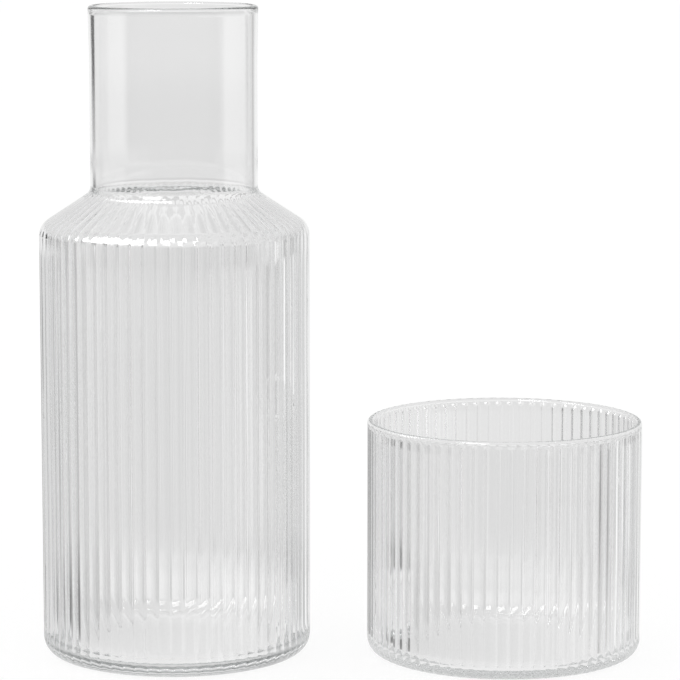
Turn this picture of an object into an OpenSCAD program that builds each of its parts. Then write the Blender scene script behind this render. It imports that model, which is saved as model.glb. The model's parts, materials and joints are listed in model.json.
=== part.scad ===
// Bedside carafe with tumbler, both blown in clear glass in ribbed moulds.
// The tumbler stands beside the carafe. Turned over, it drops over the neck as a lid.
// Millimetres, +Z up. The origin is the centre of the carafe's foot, on the table.

/* [Carafe body] */
// Diameter over the crests of the ribs
body_d = 90; // [80:1:104]
// Height of the upright wall, to where it would meet the shoulder without rounding
body_h = 144.7; // [110:0.1:180]
// Height that the shoulder climbs from the wall to the neck
shoulder_rise = 11.3; // [8:0.1:16]
// Rounding between the wall and the shoulder
shoulder_round = 6; // [4:0.1:9]
// Rounding between the wall and the foot
foot_round = 6; // [4:0.1:8]
// Glass behind a groove between two ribs
body_wall = 1.8; // [1.4:0.1:2.6]
// Thickness of the bottom
body_floor = 4.6; // [3:0.1:7]
// Rounding inside, between the wall and the bottom
floor_round = 4; // [2:0.1:6]

/* [Carafe neck] */
// Outside diameter of the plain neck
neck_d = 55.6; // [46:0.1:64]
// Height of the neck, from the shoulder to the rim
neck_h = 61.6; // [40:0.1:80]
// Glass of the neck
neck_wall = 1.7; // [1.3:0.1:2.4]
// Rounding where the neck rises from the shoulder
root_round = 2; // [1:0.1:3]
// How far the fire-polished lip stands out from the neck
lip_bead = 0.35; // [0.2:0.05:0.6]

/* [Ribs] */
// Ribs around the carafe
carafe_ribs = 66; // [52:1:76]
// Ribs around the tumbler
tumbler_ribs = 72; // [52:1:84]
// Depth of the grooves between the ribs
rib_depth = 0.7; // [0.4:0.05:1]
// Turn of the carafe's ribs, from where a groove faces the viewer
carafe_turn = 0.8; // [0:0.1:5]

/* [Tumbler] */
// How far the tumbler's side stands out past the carafe's, once it is over the neck
tumbler_overhang = 1; // [0:0.1:3]
// Glass behind a groove between two ribs
tumbler_wall = 1.5; // [1.2:0.1:2.4]
// Thickness of the bottom
tumbler_floor = 3.2; // [2.4:0.1:6]
// Rounding between the wall and the foot
tumbler_foot_round = 5; // [4:0.1:8]
// Rounding inside, between the wall and the bottom
tumbler_floor_round = 3.6; // [2:0.1:6]
// Air between the carafe's rim and the upturned tumbler's bottom
lid_gap = 3.2; // [1:0.1:8]

/* [Place on the table] */
// Gap between the sides of the two pieces
stand_gap = 19.4; // [5:0.1:60]
// How far the tumbler stands in front of the carafe
stand_forward = 1.6; // [-20:0.1:20]

/* [Hidden] */
$fn = 128;
glass_colour = [0.86, 0.9, 0.91, 0.5];

// How far cuts and joins run past the faces that they end on
overrun = 2;
// Step between the ribbed skin and the plain lip or neck that rises out of it
skin_step = 0.1;
// Points that draw one rib, and points that draw one rounding
rib_steps = 4;
round_steps = 5;

body_r = body_d / 2;
neck_r = neck_d / 2;
bore_r = neck_r - neck_wall;
root_h = body_h + shoulder_rise;
carafe_h = root_h + neck_h;
body_skin = body_wall + rib_depth;
inner_r = body_r - body_skin;
shoulder_slope = atan2(shoulder_rise, body_r - neck_r);
shoulder_turn = 90 - shoulder_slope;

tumbler_r = body_r + tumbler_overhang;
tumbler_skin = tumbler_wall + rib_depth;
tumbler_inner_r = tumbler_r - tumbler_skin;
tumbler_h = shoulder_rise + neck_h + lid_gap + tumbler_floor;
tumbler_x = body_r + stand_gap + tumbler_r;

// Depth of the ribs where they run out onto the foot, along the rounding from the wall to the foot
foot_depth_shares = [1, 1, 1, 1, 0.8, 0];
// Depth of the ribs where they run out onto the neck, along the rounding from the neck to the shoulder
root_depth_shares = [0, 0.01, 0.02, 0.03, 0.04, 0.05];
// Depth of the ribs halfway up the shoulder, and along the rounding from there to the wall
shoulder_depth_share = 0.22;
edge_depth_shares = [0.4, 0.48, 0.62, 0.78, 0.92, 1];

// The point of a rounding at one of its steps, between two directions seen from its centre
function round_point(centre, radius, from, to, step) =
    let (turn = from + (to - from) * step / round_steps)
    centre + radius * [cos(turn), sin(turn)];

function rounding(centre, radius, from, to) =
    [for (step = [0:round_steps]) round_point(centre, radius, from, to, step)];

// A ring of a skin is [radius, height, angle of its outward side above the horizontal, share of rib_depth]
function ring(point, facing, share) = [point[0], point[1], facing, share];

function ring_round(centre, radius, from, to, flip, shares) =
    [for (step = [0:round_steps])
        ring(round_point(centre, radius, from, to, step),
             from + (to - from) * step / round_steps + flip, shares[step])];

// How deep the skin lies at a step across a rib: all of the depth in the grooves, none on the crest
function groove(step) = 1 - sin(180 * step / rib_steps);

// A point of a ring: the first one faces the viewer, and the others follow round the axis
function skin_point(ring, step, steps) =
    let (depth = rib_depth * ring[3] * groove(step % rib_steps),
         radius = ring[0] - depth * cos(ring[2]),
         turn = 360 * step / steps - 90)
    [radius * cos(turn), radius * sin(turn), ring[1] - depth * sin(ring[2])];

// A closed solid whose skin runs through the rings, from the top one down
module ribbed_solid(rings, ribs) {
    steps = ribs * rib_steps;
    last = len(rings) - 1;
    points = [for (ring = rings) for (step = [0:steps - 1]) skin_point(ring, step, steps)];
    sides = [for (level = [0:last - 1]) for (step = [0:steps - 1])
        let (next = (step + 1) % steps,
             upper = level * steps,
             lower = upper + steps)
        each [[upper + step, upper + next, lower + next], [upper + step, lower + next, lower + step]]];
    top = [for (step = [0:steps - 1]) steps - 1 - step];
    bottom = [for (step = [0:steps - 1]) last * steps + step];
    polyhedron(points = points, faces = concat(sides, [top], [bottom]));
}

// The outside of the carafe below its neck
function carafe_rings() =
    let (root_tangent = root_round * tan(shoulder_turn / 2),
         root_centre = [neck_r + skin_step + root_round, root_h + root_tangent],
         edge_tangent = shoulder_round * tan(shoulder_turn / 2),
         edge_centre = [body_r - shoulder_round, body_h - edge_tangent],
         foot_centre = [body_r - foot_round, foot_round],
         shoulder_middle = [(neck_r + body_r) / 2, body_h + shoulder_rise / 2])
    concat(
        ring_round(root_centre, root_round, 180, 180 + shoulder_turn, -180, root_depth_shares),
        [ring(shoulder_middle, shoulder_turn, shoulder_depth_share)],
        ring_round(edge_centre, shoulder_round, shoulder_turn, 0, 0, edge_depth_shares),
        ring_round(foot_centre, foot_round, 0, -90, 0, foot_depth_shares));

// The plain neck with its lip, filled; the hollow cuts its bore
module neck_blank() {
    lip_r = (neck_wall + lip_bead) / 2 + skin_step;
    lip_z = carafe_h - lip_r;
    rotate_extrude() {
        translate([0, root_h - root_round])
            square([neck_r, lip_z - root_h + root_round]);
        translate([neck_r + lip_bead - lip_r, lip_z])
            circle(lip_r);
    }
}

// The space inside the carafe, out through the mouth
module carafe_hollow() {
    edge_round = max(shoulder_round - body_skin, skin_step);
    edge_corner = [inner_r, body_h - body_skin * tan(shoulder_turn / 2)];
    edge_tangent = edge_round * tan(shoulder_turn / 2);
    throat_round = root_round + neck_wall;
    throat_corner = edge_corner + (inner_r - bore_r) * [-1, tan(shoulder_slope)];
    throat_tangent = throat_round * tan(shoulder_turn / 2);
    rotate_extrude()
        polygon(concat(
            [[0, body_floor]],
            rounding([inner_r - floor_round, body_floor + floor_round], floor_round, -90, 0),
            rounding(edge_corner - [edge_round, edge_tangent], edge_round, 0, shoulder_turn),
            rounding(throat_corner + [throat_round, throat_tangent], throat_round, 180 + shoulder_turn, 180),
            [[bore_r, carafe_h + overrun], [0, carafe_h + overrun]]));
}

module carafe() {
    color(glass_colour)
        difference() {
            union() {
                rotate([0, 0, carafe_turn])
                    ribbed_solid(carafe_rings(), carafe_ribs);
                neck_blank();
            }
            carafe_hollow();
        }
}

// The outside of the tumbler: the ribs run up to the lip, where their grooves close
function tumbler_rings() =
    let (foot_centre = [tumbler_r - tumbler_foot_round, tumbler_foot_round],
         skin_top = tumbler_h - tumbler_skin,
         groove_top = skin_top - 2 * rib_depth)
    concat(
        [ring([tumbler_r, skin_top], 0, 0), ring([tumbler_r, groove_top], 0, 0.7),
         ring([tumbler_r, groove_top - 3 * rib_depth], 0, 1)],
        ring_round(foot_centre, tumbler_foot_round, 0, -90, 0, foot_depth_shares));

// The fire-polished lip of the tumbler, filled; the hollow opens it
module lip_blank() {
    lip_outer_r = tumbler_r - skin_step;
    lip_r = tumbler_skin / 2;
    rotate_extrude() {
        translate([0, tumbler_h - lip_r - tumbler_skin])
            square([lip_outer_r, tumbler_skin]);
        translate([lip_outer_r - lip_r, tumbler_h - lip_r])
            circle(lip_r);
    }
}

// The space inside the tumbler, out through the mouth
module tumbler_hollow() {
    rotate_extrude()
        polygon(concat(
            [[0, tumbler_floor]],
            rounding([tumbler_inner_r - tumbler_floor_round, tumbler_floor + tumbler_floor_round],
                     tumbler_floor_round, -90, 0),
            [[tumbler_inner_r, tumbler_h + overrun], [0, tumbler_h + overrun]]));
}

module tumbler() {
    color(glass_colour)
        translate([tumbler_x, -stand_forward, 0])
            difference() {
                union() {
                    ribbed_solid(tumbler_rings(), tumbler_ribs);
                    lip_blank();
                }
                tumbler_hollow();
            }
}

carafe();
tumbler();
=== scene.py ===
# %% [markdown]
# A bedside carafe and its tumbler. Both are blown in clear glass in ribbed moulds, and the tumbler also
# fits over the carafe's neck as a lid. The packed model says how big each piece is and where it stands, so
# the first step loads it. Nothing below moves or resizes a piece: the glass is drawn again around the same
# sizes, with many more points, because clear glass shows every flat facet.

# %% Load the packed model
import json
import math

import bpy
import numpy as np
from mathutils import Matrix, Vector


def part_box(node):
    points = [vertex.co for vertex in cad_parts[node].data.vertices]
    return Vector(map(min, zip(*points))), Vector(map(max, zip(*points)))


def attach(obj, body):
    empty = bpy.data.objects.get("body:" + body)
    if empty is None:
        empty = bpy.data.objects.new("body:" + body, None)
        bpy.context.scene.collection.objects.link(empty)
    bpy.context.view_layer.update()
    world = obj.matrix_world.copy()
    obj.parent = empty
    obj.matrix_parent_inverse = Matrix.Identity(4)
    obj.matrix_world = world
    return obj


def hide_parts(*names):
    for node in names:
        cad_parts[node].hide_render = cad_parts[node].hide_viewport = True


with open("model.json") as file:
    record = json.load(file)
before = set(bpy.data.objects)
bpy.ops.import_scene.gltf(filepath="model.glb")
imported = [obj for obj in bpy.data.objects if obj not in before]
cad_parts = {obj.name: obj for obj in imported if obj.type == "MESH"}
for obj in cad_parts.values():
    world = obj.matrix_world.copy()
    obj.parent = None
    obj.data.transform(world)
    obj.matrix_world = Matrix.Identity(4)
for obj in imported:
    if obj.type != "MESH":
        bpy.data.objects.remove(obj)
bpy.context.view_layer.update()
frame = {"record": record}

MM = 0.001

# %% [markdown]
# The frame gives the driving sizes. A mount is a face or a bore where other things meet the object, so the
# two feet say where the pieces stand, and the neck's bore says how wide it is. The radius over the ribs is
# half the width of a piece's box. The carafe's ribs are turned a little, so that no crest lies exactly on
# the X axis and the box is a hair narrower than the crests. Dividing by the cosine of that turn puts it
# right.

# %% Sizes from the frame
CARAFE_RIBS = 66
TUMBLER_RIBS = 72
CARAFE_TURN = math.radians(0.8)


def crest_radius(node, turn):
    """Radius over the crests of the ribs: half the width of the box, over the cosine of the ribs' turn."""
    low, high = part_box(node)
    return (high.x - low.x) / 2 / math.cos(turn)


mounts = {mount["name"]: mount for mount in frame["record"]["mounts"]}
carafe_centre = Vector(mounts["carafe_base"]["pos_m"])
tumbler_centre = Vector(mounts["tumbler_base"]["pos_m"])
bore_r = mounts["neck_bore"]["dims"]["r_mm"] * MM
body_r = crest_radius("carafe", CARAFE_TURN)
carafe_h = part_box("carafe")[1].z
tumbler_r = crest_radius("tumbler", 0)
tumbler_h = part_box("tumbler")[1].z
print("carafe radius %.5f m, height %.5f m" % (body_r, carafe_h))
print("tumbler radius %.5f m, height %.5f m" % (tumbler_r, tumbler_h))

# %% [markdown]
# Each piece is one closed surface of revolution with ribs pressed into it. It could be spun from a drawn
# curve with a Screw modifier, but the ribs have to grow and fade along the curve, which is easier when
# every point is worked out. So its section is a line that starts under the foot on the axis, goes out and
# up the outside, turns over the lip and comes down the inside to the axis again. It is made of straight
# stretches and arcs.

# %% Lines and arcs
QUARTER = 90
HALF = 180


def straight(start, stop, count):
    """Points on a line: start plus an even share of the way to stop. The last point is left out."""
    share = np.arange(count)[:, None] / count
    return np.array(start) + share * (np.array(stop) - np.array(start))


def arc(centre, radius, start, stop, count):
    """Points on a circle from angle start to stop, in degrees: centre plus radius times cosine and sine."""
    turn = np.radians(start + (stop - start) * np.arange(count) / count)
    return np.array(centre) + radius * np.stack([np.cos(turn), np.sin(turn)], axis=-1)


def on_circle(centre, radius, angle):
    """The point of a circle at an angle in degrees: the same sum as for an arc, for one point."""
    turn = math.radians(angle)
    return (centre[0] + radius * math.cos(turn), centre[1] + radius * math.sin(turn))


def section_of(parts):
    """One section line from its parts: its (radius, height) points, and where each part's points lie."""
    names = list(parts)
    ends = np.cumsum([len(parts[name]) for name in names])
    spans = {name: slice(end - len(parts[name]), end) for name, end in zip(names, ends)}
    return np.concatenate([parts[name] for name in names]), spans


print("a quarter of a 1 mm circle in 3 points:", arc((0, 0), 1, 0, QUARTER, 3).round(2).tolist())

# %% [markdown]
# The carafe's section. The shoulder climbs at a steady slope between two roundings, and the inside follows
# the outside one wall's thickness away. The lip is rounded by the flame, which also leaves it a hair
# thicker than the neck. Each rounding touches the lines beside it, so its centre lies back from the corner
# by the radius times the tangent of half the turn.

# %% The carafe's sizes
body_wall = 2.5 * MM
neck_wall = 1.7 * MM
body_floor = 4.6 * MM
shoulder_edge_h = 144.7 * MM
shoulder_rise = 11.3 * MM
shoulder_round = 6 * MM
foot_round = 6 * MM
floor_round = 4 * MM
root_round = 3.5 * MM
throat_round = 3.7 * MM
lip_bead = 0.35 * MM
wall_end = 4 * MM
pole_hole = 1 * MM

neck_r = bore_r + neck_wall
carafe_foot_r = body_r - foot_round
inner_r = body_r - body_wall
flat_r = inner_r - floor_round
root_h = shoulder_edge_h + shoulder_rise
slope = math.atan2(shoulder_rise, body_r - neck_r)
shoulder_turn = QUARTER - math.degrees(slope)
half_tangent = math.tan(math.radians(shoulder_turn / 2))
lip_r = (neck_wall + lip_bead) / 2
inner_edge_round = shoulder_round - body_wall

edge_centre = (body_r - shoulder_round, shoulder_edge_h - shoulder_round * half_tangent)
root_centre = (neck_r + root_round, root_h + root_round * half_tangent)
lip_centre = (neck_r + lip_bead - lip_r, carafe_h - lip_r)
inner_edge = (inner_r, shoulder_edge_h - body_wall * half_tangent)
inner_edge_centre = (inner_r - inner_edge_round, inner_edge[1] - inner_edge_round * half_tangent)
throat = (bore_r, inner_edge[1] + (inner_r - bore_r) * math.tan(slope))
throat_centre = (bore_r + throat_round, throat[1] + throat_round * half_tangent)
print("the shoulder climbs at %.1f degrees" % math.degrees(slope))

# %% [markdown]
# A smooth rounding needs many points and a straight wall only a few. The neck meets its lip a little below
# the lip's centre, and the lip's arc leans by a few degrees, so that it runs into the slightly narrower
# neck without a step.

# %% The carafe's section
carafe_steps = {"underside": 3, "foot": 12, "wall_end": 5, "wall": 8, "edge": 10, "shoulder": 7, "root": 9,
                "neck": 4, "lip": 12, "bore": 6, "throat": 6, "inner_shoulder": 4, "inner_edge": 7,
                "inner_wall": 16, "floor_round": 9, "floor": 4}
lip_lean = 10
neck_top_h = lip_centre[1] - 2 * lip_r

carafe_section, carafe_spans = section_of({
    "underside": straight((pole_hole, 0), (carafe_foot_r, 0), carafe_steps["underside"]),
    "foot": arc((carafe_foot_r, foot_round), foot_round, -QUARTER, 0, carafe_steps["foot"]),
    "wall_end": straight((body_r, foot_round), (body_r, foot_round + wall_end), carafe_steps["wall_end"]),
    "wall": straight((body_r, foot_round + wall_end), (body_r, edge_centre[1]), carafe_steps["wall"]),
    "edge": arc(edge_centre, shoulder_round, 0, shoulder_turn, carafe_steps["edge"]),
    "shoulder": straight(on_circle(edge_centre, shoulder_round, shoulder_turn),
                         on_circle(root_centre, root_round, HALF + shoulder_turn), carafe_steps["shoulder"]),
    "root": arc(root_centre, root_round, HALF + shoulder_turn, HALF, carafe_steps["root"]),
    "neck": straight((neck_r, root_centre[1]), (neck_r, neck_top_h), carafe_steps["neck"]),
    "lip": arc(lip_centre, lip_r, -lip_lean, HALF - lip_lean, carafe_steps["lip"]),
    "bore": straight((bore_r, neck_top_h), (bore_r, throat_centre[1]), carafe_steps["bore"]),
    "throat": arc(throat_centre, throat_round, HALF, HALF + shoulder_turn, carafe_steps["throat"]),
    "inner_shoulder": straight(on_circle(throat_centre, throat_round, HALF + shoulder_turn),
                               on_circle(inner_edge_centre, inner_edge_round, shoulder_turn),
                               carafe_steps["inner_shoulder"]),
    "inner_edge": arc(inner_edge_centre, inner_edge_round, shoulder_turn, 0, carafe_steps["inner_edge"]),
    "inner_wall": straight((inner_r, inner_edge_centre[1]), (inner_r, body_floor + floor_round),
                           carafe_steps["inner_wall"]),
    "floor_round": arc((flat_r, body_floor + floor_round), floor_round, 0, -QUARTER,
                       carafe_steps["floor_round"]),
    "floor": straight((flat_r, body_floor), (0, body_floor), carafe_steps["floor"]),
})
print("the carafe's section has", len(carafe_section), "points")

# %% [markdown]
# The tumbler is plainer: a foot, a straight ribbed wall, a rounded lip and a smooth inside. Just under the
# lip its ribs run out over a few millimetres, because the flame that rounds the lip melts their ends away.
# That short stretch is a part of its own, so that it can have points close together.

# %% The tumbler's section
tumbler_wall = 2.2 * MM
tumbler_floor = 3.2 * MM
tumbler_foot_round = 5 * MM
tumbler_floor_round = 3.6 * MM
run_out = 3 * MM
tumbler_steps = {"underside": 3, "foot": 12, "wall": 6, "run_out": 10, "lip": 12, "inner_wall": 14,
                 "floor_round": 9, "floor": 4}

tumbler_foot_r = tumbler_r - tumbler_foot_round
tumbler_inner_r = tumbler_r - tumbler_wall
tumbler_flat_r = tumbler_inner_r - tumbler_floor_round
tumbler_round_h = tumbler_floor + tumbler_floor_round
tumbler_lip_r = tumbler_wall / 2
tumbler_lip_centre = (tumbler_r - tumbler_lip_r, tumbler_h - tumbler_lip_r)

tumbler_section, tumbler_spans = section_of({
    "underside": straight((pole_hole, 0), (tumbler_foot_r, 0), tumbler_steps["underside"]),
    "foot": arc((tumbler_foot_r, tumbler_foot_round), tumbler_foot_round, -QUARTER, 0, tumbler_steps["foot"]),
    "wall": straight((tumbler_r, tumbler_foot_round), (tumbler_r, tumbler_h - run_out),
                     tumbler_steps["wall"]),
    "run_out": straight((tumbler_r, tumbler_h - run_out), (tumbler_r, tumbler_lip_centre[1]),
                        tumbler_steps["run_out"]),
    "lip": arc(tumbler_lip_centre, tumbler_lip_r, 0, HALF, tumbler_steps["lip"]),
    "inner_wall": straight((tumbler_inner_r, tumbler_lip_centre[1]), (tumbler_inner_r, tumbler_round_h),
                           tumbler_steps["inner_wall"]),
    "floor_round": arc((tumbler_flat_r, tumbler_round_h), tumbler_floor_round, 0, -QUARTER,
                       tumbler_steps["floor_round"]),
    "floor": straight((tumbler_flat_r, tumbler_floor), (0, tumbler_floor), tumbler_steps["floor"]),
})
print("the tumbler's section has", len(tumbler_section), "points")

# %% [markdown]
# Ribs pressed by a mould are rounded on their crests and meet in narrow grooves. A displacement texture
# would need millions of points to show that. A row of arches is cheaper: the size of a sine wave is one on
# each crest and falls steeply to nothing between two. The surface turns fastest in the groove, so the
# columns of points crowd together there and stand further apart on the crest.

# %% Ribs
rib_depth = 0.7 * MM
groove_softness = 0.08
columns_per_rib = 12
crowding = 0.85


def grooves(ribs, turn):
    """How deep the skin lies at each turn round the axis, from 0 on a crest to 1 in a groove.

    One minus the size of a sine with half as many waves as ribs, softened where it would come to a point."""
    arch = np.sqrt(np.sin(ribs * turn / 2) ** 2 + groove_softness ** 2)
    return (arch.max() - arch) / (arch.max() - arch.min())


def crowded_turns(ribs):
    """The turn of each column of points: even turns, less a sine that pulls them towards the grooves."""
    columns = ribs * columns_per_rib
    even = 2 * np.pi * np.arange(columns) / columns
    return even - crowding * np.sin(ribs * even) / ribs


one_rib = grooves(CARAFE_RIBS, crowded_turns(CARAFE_RIBS))[:columns_per_rib]
print("the groove's depth across one rib:", one_rib.round(2).tolist())

# %% [markdown]
# No blown wall is even. The mould presses the outside, but the inside is only held by air, so it swells and
# thins by a little over a few centimetres. That is what makes the light inside real glass waver. A bump in
# the material could fake it, but light that goes through a wall twice needs the real tilt of both sides.
# The swell here is a sum of a few slow waves round and along the piece, with their places drawn from a
# seed.

# %% Uneven glass
swell_depth = 0.08 * MM
swell_waves = 16
crest_counts = (2, 30)
wave_lengths = (0.05, 0.2)
wave_height = 6
slow_crests = 4
CARAFE_SEED = 3
TUMBLER_SEED = 8


def swell(turn, along, seed):
    """A smooth unevenness between about -1 and 1: a sum of cosines round the axis times cosines along it.

    Waves with many crests round the axis are lower, so that each one tilts the surface about as much."""
    draw = np.random.default_rng(seed)
    total = np.zeros(np.broadcast(turn, along).shape)
    for _ in range(swell_waves):
        crests = draw.integers(*crest_counts)
        length = draw.uniform(*wave_lengths)
        offset, start = draw.uniform(0, 2 * np.pi, 2)
        height = wave_height / (slow_crests + crests)
        total += height * np.cos(crests * turn + offset) * np.cos(2 * np.pi * along / length + start)
    return total / math.sqrt(swell_waves)


sample = swell(crowded_turns(CARAFE_RIBS), carafe_section[:, 1:], CARAFE_SEED)
print("the inside swells by up to %.3f mm" % (np.abs(sample).max() * swell_depth / MM))

# %% [markdown]
# How deep the grooves are changes along the section, so each piece has a table of shares. The shares rise
# and fall by a smooth step, because a straight one would leave a visible crease in the glass.

# %% Depth of the ribs along a section
def fade(value, start, stop):
    """A smooth step from 0 at start to 1 at stop: three squares less two cubes of the share of the way."""
    share = np.clip((value - start) / (stop - start), 0, 1)
    return share * share * (3 - 2 * share)


def way(span):
    """How far along its part of the section each point lies: its number over the count of points."""
    count = span.stop - span.start
    return np.arange(count) / count


print("a smooth step in 5 points:", fade(np.linspace(0, 1, 5), 0, 1).round(2).tolist())

# %% [markdown]
# Now the section is carried round the axis. Every point is pushed into the glass, square to the section, by
# the depth of the groove there, so the ribs follow the shoulder and the foot as well as the wall. Inside,
# the same push is the swell. All points are worked out at once, as a grid with a row for each point of the
# section and a column for each turn. The first and the last row are closed with a fan of triangles to a
# point on the axis.

# %% One glass piece
def outward_sides(section):
    """Unit vectors square to the section, out of the glass: its direction turned by a quarter turn."""
    along = np.gradient(section, axis=0)
    along /= np.linalg.norm(along, axis=1, keepdims=True)
    return np.stack([along[:, 1], -along[:, 0]], axis=-1)


def swell_share(rows, inside):
    """How much of the swell each row gets: the root of half a sine wave over the rows inside, 0 elsewhere."""
    share = np.zeros(rows)
    share[inside] = np.sqrt(np.sin(np.pi * np.linspace(0, 1, inside.stop - inside.start)))
    return share


def skin_points(section, depth, ribs, first_turn, inside, seed):
    """The grid of points: the section plus the push along its outward sides, turned round the axis."""
    turn = crowded_turns(ribs)
    place = turn + first_turn
    push = -depth[:, None] * grooves(ribs, turn)
    push += swell_share(len(section), inside)[:, None] * swell_depth * swell(place, section[:, 1:], seed)
    sides = outward_sides(section)
    radii = section[:, :1] + push * sides[:, :1]
    heights = section[:, 1:] + push * sides[:, 1:]
    return np.stack([radii * np.sin(place), -radii * np.cos(place), heights], axis=-1)


def closed_faces(rows, columns):
    """Faces of a grid closed round: each joins four neighbours, and a fan of triangles closes each end."""
    here = np.arange(rows * columns).reshape(rows, columns)
    beside = np.roll(here, -1, axis=1)
    quads = np.stack([here[:-1], beside[:-1], beside[1:], here[1:]], axis=-1).reshape(-1, 4)
    first_pole = np.full(columns, rows * columns)
    last_pole = first_pole + 1
    start_fan = np.stack([first_pole, beside[0], here[0]], axis=-1)
    end_fan = np.stack([last_pole, here[-1], beside[-1]], axis=-1)
    return quads.tolist() + start_fan.tolist() + end_fan.tolist()


def glass_piece(name, section, grid, centre):
    """A closed piece of glass: the grid and its two poles, moved to the centre of the foot."""
    rows, columns = grid.shape[:2]
    poles = [[0, 0, section[0, 1]], [0, 0, section[-1, 1]]]
    points = np.concatenate([grid.reshape(-1, 3), poles]) + np.array(centre)
    mesh = bpy.data.meshes.new(name)
    mesh.from_pydata(points.tolist(), [], closed_faces(rows, columns))
    mesh.shade_smooth()
    piece = bpy.data.objects.new(name, mesh)
    bpy.context.scene.collection.objects.link(piece)
    print(name, "has", 2 * rows * columns, "triangles")
    return piece


# %% [markdown]
# The carafe. In the photo its ribs are at full depth on the wall and fade over the shoulder to almost
# nothing at the neck. They also fade towards the foot, where the hot glass rested on the mould's bottom.
# The neck, the lip and the whole inside have no ribs, so their share stays at nothing.

# %% The carafe
foot_share = 0.5
foot_start = 0.25
edge_loss = 0.6
shoulder_gain = 0.28
root_share = 0.12
root_stop = 0.78


def carafe_depths():
    """How deep the grooves are at each point of the section: each part's share times the full depth."""
    parts = carafe_spans
    share = np.zeros(len(carafe_section))
    radius = carafe_section[parts["shoulder"], 0]
    share[parts["foot"]] = foot_share * fade(way(parts["foot"]), foot_start, 1)
    share[parts["wall_end"]] = foot_share + (1 - foot_share) * fade(way(parts["wall_end"]), 0, 1)
    share[parts["wall"]] = 1
    share[parts["edge"]] = 1 - edge_loss * fade(way(parts["edge"]), 0, 1)
    share[parts["shoulder"]] = root_share + shoulder_gain * fade(radius, neck_r, body_r)
    share[parts["root"]] = root_share * (1 - fade(way(parts["root"]), 0, root_stop))
    return share * rib_depth


carafe_inside = slice(carafe_spans["throat"].start, carafe_spans["floor"].start)
carafe_grid = skin_points(carafe_section, carafe_depths(), CARAFE_RIBS, CARAFE_TURN, carafe_inside,
                          CARAFE_SEED)
carafe_glass = glass_piece("carafe_glass", carafe_section, carafe_grid, carafe_centre)
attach(carafe_glass, "carafe")
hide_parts("carafe")

# %% [markdown]
# The tumbler is made the same way. Its ribs go further round the foot than the carafe's, which is why its
# bottom edge looks scalloped from above.

# %% The tumbler
tumbler_foot_start = 0.08
tumbler_foot_stop = 0.5
run_out_start = 0.1


def tumbler_depths():
    """Depth of the grooves at each point of the tumbler's section, worked out as for the carafe."""
    parts = tumbler_spans
    share = np.zeros(len(tumbler_section))
    share[parts["foot"]] = fade(way(parts["foot"]), tumbler_foot_start, tumbler_foot_stop)
    share[parts["wall"]] = 1
    share[parts["run_out"]] = 1 - fade(way(parts["run_out"]), run_out_start, 1)
    return share * rib_depth


tumbler_inside = slice(tumbler_spans["inner_wall"].start, tumbler_spans["floor"].start)
tumbler_grid = skin_points(tumbler_section, tumbler_depths(), TUMBLER_RIBS, 0, tumbler_inside, TUMBLER_SEED)
tumbler_glass = glass_piece("tumbler_glass", tumbler_section, tumbler_grid, tumbler_centre)
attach(tumbler_glass, "tumbler")
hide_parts("tumbler")

# %% [markdown]
# Shader maths is easier to read as Python than as a web of nodes. A wire is one socket of a node tree, and
# each operator on it adds the Math node that works it out, also where the number stands on the left. Every
# other node comes from the one method called node.

# %% Shader maths as Python
class Wire:
    """A socket of a node tree that + - * / and % work on. With no socket it stands for the tree itself."""

    def __init__(self, tree, socket=None):
        self.tree = tree
        self.socket = socket

    def node(self, kind, settings=None, inputs=None, output=0):
        """Adds a node. Its settings are set first, then its sockets get their numbers, colours or wires."""
        made = self.tree.nodes.new(kind)
        for name, value in (settings or {}).items():
            setattr(made, name, value)
        for name, value in (inputs or {}).items():
            if isinstance(value, Wire):
                self.tree.links.new(value.socket, made.inputs[name])
            else:
                made.inputs[name].default_value = value
        return Wire(self.tree, made.outputs[output]) if len(made.outputs) else Wire(self.tree)

    def other(self, name):
        """The socket of that name on the same node."""
        return Wire(self.tree, self.socket.node.outputs[name])

    def maths(self, operation, *values):
        """A Math node with this wire first: the operation of this wire and the values."""
        return self.node("ShaderNodeMath", {"operation": operation}, dict(enumerate((self,) + values)))

    def step(self, start, stop):
        """A smooth step from 0 at start to 1 at stop."""
        return self.node("ShaderNodeMapRange", {"interpolation_type": "SMOOTHSTEP"},
                         {"Value": self, "From Min": start, "From Max": stop})

    def between(self, start, stop, soft):
        """1 from start to stop and 0 outside: a step up times one less a step up."""
        return self.step(start - soft, start + soft) * (1 - self.step(stop - soft, stop + soft))

    def ramp(self, stops):
        """A grey level that runs straight from stop to stop. Each stop is a place from 0 to 1 and a level."""
        made = self.node("ShaderNodeValToRGB", inputs={"Fac": self})
        band = made.socket.node.color_ramp
        while len(band.elements) < len(stops):
            band.elements.new(1.0)
        for element, (place, level) in zip(band.elements, stops):
            element.position = place
            element.color = (level, level, level, 1.0)
        return made

    def blend(self, other, share):
        """This wire where share is 0 and the other where it is 1: this plus the share of the difference."""
        return self + (other - self) * share

    def __add__(self, other):
        return self.maths("ADD", other)

    def __sub__(self, other):
        return self.maths("SUBTRACT", other)

    def __rsub__(self, other):
        return self.node("ShaderNodeMath", {"operation": "SUBTRACT"}, {0: other, 1: self})

    def __mul__(self, other):
        return self.maths("MULTIPLY", other)

    def __truediv__(self, other):
        return self.maths("DIVIDE", other)

    def __mod__(self, other):
        return self.maths("FLOORED_MODULO", other)

    __radd__ = __add__
    __rmul__ = __mul__


def fresh_tree(owner):
    """The node tree of a material or a world, emptied, as a wire to build on."""
    owner.use_nodes = True
    owner.node_tree.nodes.clear()
    return Wire(owner.node_tree)


print("a wire knows", [name for name in vars(Wire) if not name.startswith("__")])

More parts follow.
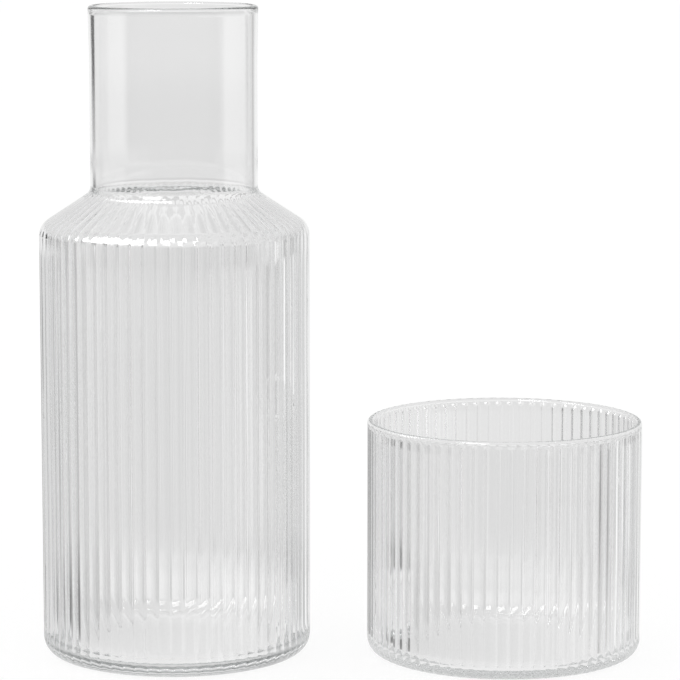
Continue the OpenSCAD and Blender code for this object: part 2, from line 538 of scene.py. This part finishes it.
# %% [markdown]
# Clear soda-lime glass bends light by an index of about 1.52. It takes a little of it away over a long
# path, which greys its edges and its thick foot, so the colour sits in the volume and the surface itself is
# clean. A Glass node would give the same surface, but the Principled node is the one that other programs
# read. Fire-polished glass is as good as perfectly smooth, apart from patches with a breath of haze where
# the mould touched it. A slow noise places them.

# %% Clear glass
glass_index = 1.52
glass_tint = (0.8, 0.82, 0.82, 1.0)
glass_density = 5.0
haze_scale = 35.0
haze_detail = 3.0
haze_edges = (0.55, 0.9)
haze_roughness = 0.004
WHITE = (1.0, 1.0, 1.0, 1.0)


def clear_glass():
    """The one material of both pieces: a smooth clear surface over a volume that absorbs a little light."""
    material = bpy.data.materials.new("clear_glass")
    start = fresh_tree(material)
    place = start.node("ShaderNodeTexCoord", output="Object")
    haze = start.node("ShaderNodeTexNoise",
                      inputs={"Vector": place, "Scale": haze_scale, "Detail": haze_detail})
    surface = start.node("ShaderNodeBsdfPrincipled", inputs={
        "Base Color": WHITE,
        "Roughness": haze.step(*haze_edges) * haze_roughness,
        "IOR": glass_index,
        "Transmission Weight": 1.0,
    })
    inside = start.node("ShaderNodeVolumeAbsorption", inputs={"Color": glass_tint, "Density": glass_density})
    start.node("ShaderNodeOutputMaterial", inputs={"Surface": surface, "Volume": inside})
    return material


glass = clear_glass()
for piece in (carafe_glass, tumbler_glass):
    piece.data.materials.append(glass)
print("clear glass is made of", len(glass.node_tree.nodes), "nodes")

# %% [markdown]
# Clear glass has no look of its own: it bends the room into its stripes. Photographers stand it in a tent
# of white cloth with dark cards, so the studio is as much work here as the glass. Cards and lamps could be
# planes, but a world that answers by direction throws no shadows and is laid out with numbers alone. All
# angles are in degrees. The azimuth is 0 straight behind the glass and 90 to its right, and the elevation
# is 0 at the horizon.
#
# A band of panels is a dict of the angle where each panel begins and how bright it is. Soft joins keep the
# edges from showing as lines. Light adds up, so the levels could be found by rendering each panel alone and
# then adding the pictures in the shares that gave the photo's stripes. Mirrored light comes from all round,
# so its three bands run full circle. Light that comes straight through is bent by less than 45 degrees, so
# its two screens cover a quarter turn and are repeated on each side, and the glass looks alike from every
# side.

# %% Bands of panels
FULL_TURN = 360
panel_soft = 3.0
screen_soft = 0.5


def panels(levels, soft, turn):
    """Stops of a ramp round the tent: each panel's angle over the turn plus a half, with soft joins."""
    starts = list(levels)
    greys = list(levels.values())
    stops = [(0.0, greys[0])]
    for start, before, after in zip(starts[1:], greys[:-1], greys[1:]):
        stops += [((start - soft) / turn + 0.5, before), ((start + soft) / turn + 0.5, after)]
    return stops


HIGH_PANELS = panels({-180: 0.0, -110: 0.55, -52: 0.7, -41: 0.9, 26: 0.56, 60: 0.95, 103: 0.0},
                     panel_soft, FULL_TURN)
LOW_PANELS = panels({-180: 0.37, -120: 0.96, -100: 0.52, -80: 0.65, -60: 0.47, -40: 0.71, -20: 0.35, 0: 0.89,
                     20: 0.66, 40: 1.03, 60: 0.63, 80: 0.33, 100: 1.59, 120: 1.08, 140: 0.43},
                    panel_soft, FULL_TURN)
FOOT_PANELS = panels({-180: 0.45, -160: 0.3, -140: 0.07, -100: 0.23, -40: 0.77, -20: 0.39, 0: 0.96, 20: 0.52,
                      40: 0.95, 60: 0.75, 80: 0.51, 100: 1.13, 120: 1.6, 140: 0.62, 160: 0.45},
                     panel_soft, FULL_TURN)
LOW_SCREEN = panels({-45: 0.53, -40: 0.69, -36: 0.87, -32: 0.63, -27: 0.73, 10: 0.9, 20: 0.73, 27: 0.78,
                     36: 1.0, 40: 0.55}, screen_soft, QUARTER)
FOOT_SCREEN = panels({-45: 0.52, -40: 0.58, -36: 0.85, -32: 0.5, -27: 0.68, -10: 0.94, 20: 0.88, 27: 0.8,
                      32: 1.0, 36: 0.64, 40: 0.52}, screen_soft, QUARTER)
print("the low panels take", len(LOW_PANELS), "stops, and a ramp holds 32")

# %% [markdown]
# The bands give way to one another at set heights. Below them all lies the table, and above them the roof
# of the tent. A dark card stands behind the glass on the left, and the lamp shines over the viewer's left
# shoulder. Its reflections are the white dashes along the shoulder and on the floor's inner edge. Light
# that is mirrored inside the glass is also bent on its way in and out. A real lamp, close by and large,
# would still be met by it, so the lamp here is wider for that light.
#
# A between needs a start, a stop and a softness, and a step needs a start and a stop, so each of the values
# below is a whole set of these.

# %% Heights, card and lamp
foot_band = (-12.6, -11.2)
table_band = (-24.0, -15.0)
high_band = (-7.5, -5.5)
roof_band = (5.0, 9.0)
roof_level = 0.7
table_level = 0.85
card_across = (-41, -28, 2)
card_foot = (-7.5, -2.0)
card_top = (4.0, 7.0)
lamp_across = (-162, -132, 2)
lamp_upright = (30, 60, 1)
wide_lamp_across = (-176, -70, 3)
wide_lamp_upright = (24, 70, 2)


def ray_angles(start):
    """The azimuth and elevation of a ray in degrees: the arc tangent of x over y, and the arc sine of z."""
    direction = start.node("ShaderNodeTexCoord", output="Generated")
    x = start.node("ShaderNodeSeparateXYZ", inputs={"Vector": direction})
    to_degrees = HALF / math.pi
    azimuth = x.maths("ARCTAN2", x.other("Y")) * to_degrees
    elevation = x.other("Z").maths("ARCSINE") * to_degrees
    return azimuth, elevation


def dark_card(azimuth, elevation):
    """1 on the card and 0 beside it: between its sides, times above its foot, times below its top."""
    return azimuth.between(*card_across) * elevation.step(*card_foot) * (1 - elevation.step(*card_top))


def lamp(azimuth, elevation, inside):
    """1 on the lamp: between its sides times between its heights, wider for light from inside the glass."""
    narrow = azimuth.between(*lamp_across) * elevation.between(*lamp_upright)
    wide = azimuth.between(*wide_lamp_across) * elevation.between(*wide_lamp_upright)
    return narrow.blend(wide, inside)


def mirrored_view(azimuth, elevation, foot, under):
    """What mirrored light sees: the low panels, blended by height into the others, the roof and the table."""
    around = azimuth / FULL_TURN + 0.5
    tent = around.ramp(LOW_PANELS).blend(around.ramp(HIGH_PANELS), elevation.step(*high_band))
    tent = tent.blend(around.ramp(FOOT_PANELS), foot)
    return tent.blend(roof_level, elevation.step(*roof_band)).blend(table_level, under)


print("the lamp is", lamp_across[1] - lamp_across[0], "degrees wide")

# %% [markdown]
# Light that comes straight through sees the screens. A wall that is looked through alone, such as the far
# wall of the tumbler over its rim, is calm in the photo, so light that has crossed only one wall sees a
# plain level in the middle of each side. The number of surfaces that a ray has crossed tells the two kinds
# apart.

# %% Screens behind the glass
screen_band = (-7.5, -5.0)
screen_level = 0.86
screen_table_level = 0.78
horizon_gain = 0.05
horizon_band = (-4.5, -2.5)
sky_loss = 0.15
sky_band = (-1.0, 2.0)
calm_level = 0.81
calm_across = (-22, 22, 3)
past_one_wall = (2, 3)


def straight_view(azimuth, elevation, foot, under, crossed):
    """What straight light sees: the low screen, the plain one above and the foot one and the table below."""
    side = (azimuth + QUARTER / 2) % QUARTER - QUARTER / 2
    place = side / QUARTER + 0.5
    calm = (1 - crossed.step(*past_one_wall)) * side.between(*calm_across)
    plain = screen_level + horizon_gain * elevation.step(*horizon_band) - sky_loss * elevation.step(*sky_band)
    screen = place.ramp(LOW_SCREEN).blend(calm_level, calm).blend(plain, elevation.step(*screen_band))
    return screen.blend(place.ramp(FOOT_SCREEN), foot).blend(screen_table_level, under)


print("the plain screen is at level", screen_level, "and the calm one at", calm_level)

# %% [markdown]
# The Light Path node tells how a ray came, which is what lets one world answer in several ways. The camera
# itself and the matt floor see plain white, so the background is white and the floor evenly lit. Rays that
# no surface has mirrored see the screens, and all others see the tent. Only rays mirrored just once see the
# lamp, because more of its reflections would fill the ribs with sparks.

# %% Light tent
lamp_strength = 8.0
card_through = 0.9
count_reach = 0.1


def light_tent():
    """The world: plain for the camera and the floor, and for glass the straight or the mirrored view."""
    world = bpy.data.worlds.new("light_tent")
    bpy.context.scene.world = world
    start = fresh_tree(world)
    azimuth, elevation = ray_angles(start)
    foot = 1 - elevation.step(*foot_band)
    under = 1 - elevation.step(*table_band)
    card = dark_card(azimuth, elevation)

    camera_ray = start.node("ShaderNodeLightPath")
    mirrored = camera_ray.other("Glossy Depth")
    crossed = camera_ray.other("Transmission Depth")
    once = mirrored.maths("COMPARE", 1.0, count_reach)
    light = once * lamp(azimuth, elevation, crossed.step(0, 1)) * lamp_strength
    tent = mirrored_view(azimuth, elevation, foot, under) * (1 - card) + light
    behind = straight_view(azimuth, elevation, foot, under, crossed) * (1 - card * card_through)

    plain = camera_ray.maths("MAXIMUM", camera_ray.other("Is Diffuse Ray"))
    level = behind.blend(tent, mirrored.step(0, 1)).blend(1.0, plain)
    background = start.node("ShaderNodeBackground", inputs={"Color": WHITE, "Strength": level})
    start.node("ShaderNodeOutputWorld", inputs={"Surface": background})
    return world


tent_world = light_tent()
print("the light tent is made of", len(tent_world.node_tree.nodes), "nodes")

# %% [markdown]
# The floor melts into the white background in the photo, so it mostly glows by itself and takes only a
# breath of shadow from the glass. It lies a hair below the feet, so that the two surfaces don't fight over
# the same points. The glass neither mirrors the floor nor looks through to it, because the bands of the
# studio stand in for it there.

# %% The floor
floor_reach = 6.0
floor_drop = 0.2 * MM
floor_grey = (0.8, 0.8, 0.8, 1.0)
floor_glow = 1.03
glow_share = 0.9


def floor_material():
    """A matt grey surface mixed with an even glow."""
    material = bpy.data.materials.new("pale_floor")
    start = fresh_tree(material)
    matt = start.node("ShaderNodeBsdfDiffuse", inputs={"Color": floor_grey})
    glow = start.node("ShaderNodeEmission", inputs={"Color": WHITE, "Strength": floor_glow})
    mixed = start.node("ShaderNodeMixShader", inputs={0: glow_share, 1: matt, 2: glow})
    start.node("ShaderNodeOutputMaterial", inputs={"Surface": mixed})
    return material


def flat_piece(name, corners, material):
    """A flat face through the corners, all at one height, as a piece of the stage."""
    mesh = bpy.data.meshes.new(name)
    mesh.from_pydata(corners.tolist(), [], [list(range(len(corners)))])
    mesh.materials.append(material)
    piece = bpy.data.objects.new(name, mesh)
    bpy.context.scene.collection.objects.link(piece)
    return piece


square = np.array([[-1, -1, 0], [1, -1, 0], [1, 1, 0], [-1, 1, 0]])
floor = flat_piece("floor", floor_reach * square - [0, 0, floor_drop], floor_material())
floor.visible_glossy = False
floor.visible_transmission = False
print("the floor is", 2 * floor_reach, "m wide")

# %% [markdown]
# Right under each foot it is different. There the glass all but touches the table, and looking down through
# the thick floor of a glass shows the pale table and no stripes. A disc that glows evenly, a little
# narrower than the foot, does that. Only light that has come through glass can see it, so that lifting the
# tumbler leaves no mark on the table.

# %% The table under the feet
disc_corners = 96
disc_drop = 0.1 * MM
disc_level = 0.86


def table_glow():
    """An even glow, a little under white."""
    material = bpy.data.materials.new("table_glow")
    start = fresh_tree(material)
    glow = start.node("ShaderNodeEmission", inputs={"Color": WHITE, "Strength": disc_level})
    start.node("ShaderNodeOutputMaterial", inputs={"Surface": glow})
    return material


def rim(centre, radius):
    """Points round a centre: the radius times cosine and sine, a hair below it."""
    turn = 2 * np.pi * np.arange(disc_corners) / disc_corners
    drop = np.full(disc_corners, -disc_drop)
    return np.stack([radius * np.cos(turn), radius * np.sin(turn), drop], axis=-1) + np.array(centre)


def table_disc(name, centre, radius):
    """A disc round a centre that is seen through glass alone: not by the camera, nor by the matt floor."""
    disc = flat_piece(name, rim(centre, radius), table_glow())
    disc.visible_camera = False
    disc.visible_diffuse = False
    disc.visible_shadow = False
    print(name, "is %.1f mm across" % (2 * radius / MM))


table_disc("table_under_carafe", carafe_centre, carafe_foot_r)
table_disc("table_under_tumbler", tumbler_centre, tumbler_foot_r)

# %% [markdown]
# The camera was fitted to the outlines of both pieces in the photo, and its lens is the focal length in
# pixels over the picture's width, times the width of the sensor. The Standard view keeps white at white. A
# ray that runs along a wall or round the thick foot crosses or meets dozens of surfaces, and where the
# bounces run out it turns black, so there are 64.

# %% The camera
PICTURE = 680
focal_px = 3367.6
look_down = 8.178
sensor_mm = 36
camera_place = Vector((55.16, -1116.19, 266.27)) * MM
bounces = 64

camera_data = bpy.data.cameras.new("camera")
camera_data.sensor_width = sensor_mm
camera_data.lens = focal_px / PICTURE * sensor_mm
camera = bpy.data.objects.new("camera", camera_data)
camera.location = camera_place
camera.rotation_euler = (math.radians(QUARTER - look_down), 0, 0)

scene = bpy.context.scene
scene.collection.objects.link(camera)
scene.camera = camera
scene.view_settings.view_transform = "Standard"
scene.cycles.max_bounces = bounces
scene.cycles.transmission_bounces = bounces
scene.cycles.glossy_bounces = bounces
print("the lens is %.1f mm long" % camera_data.lens)

# %% [markdown]
